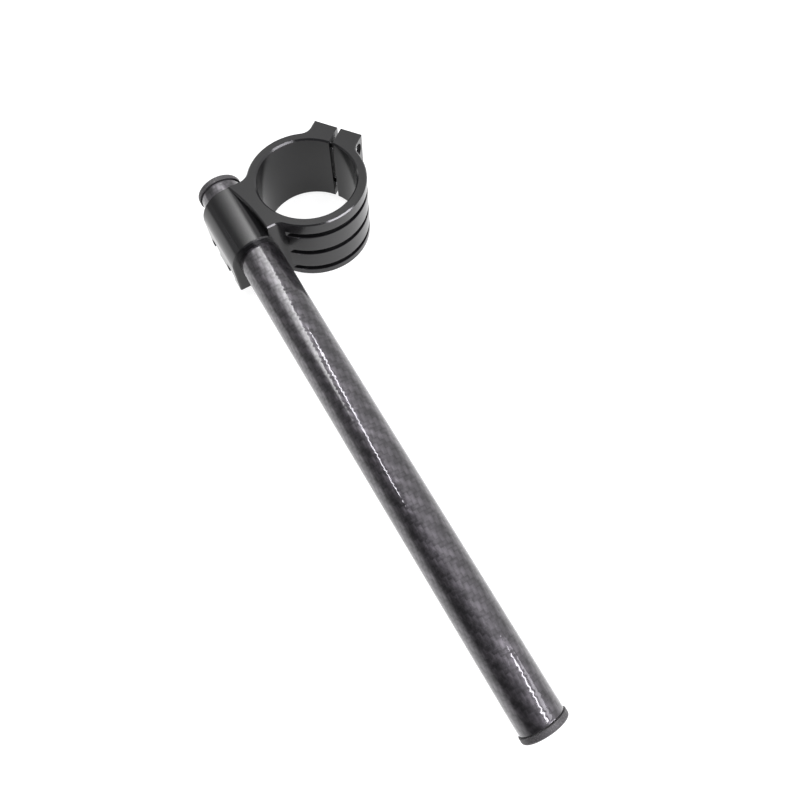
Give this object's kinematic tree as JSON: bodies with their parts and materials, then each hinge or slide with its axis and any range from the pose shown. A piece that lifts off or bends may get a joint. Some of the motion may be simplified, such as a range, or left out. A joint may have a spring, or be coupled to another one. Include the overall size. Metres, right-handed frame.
{
  "type": "clip-on handlebar",
  "caption": "Clip-on motorcycle handlebar: a split ring that clamps round a fork leg, with a web and sleeve holding a straight, drooping carbon-fibre grip bar with plugged ends.",
  "frame": {"origin": "on the axis of the fork bore, at half the height of the ring", "axes": "+Z along the fork bore, towards the face the picture looks down on; +X outboard, the way the bar runs; +Y from the bar towards the fork"},
  "size_m": [0.303, 0.0921, 0.0637],
  "materials": {
    "clamp": "black anodised, satin",
    "bar": "carbon-fibre twill under clear lacquer",
    "plug": "moulded, matt dark grey",
    "screw": "bright steel"
  },
  "bodies": {
    "root": {"fork_clamp": "clamp", "bar_tube": "bar", "inner_end_plug": "plug", "outer_end_plug": "plug", "fork_pinch_screws": "screw", "bar_pinch_screws": "screw"}
  },
  "joints": []
}
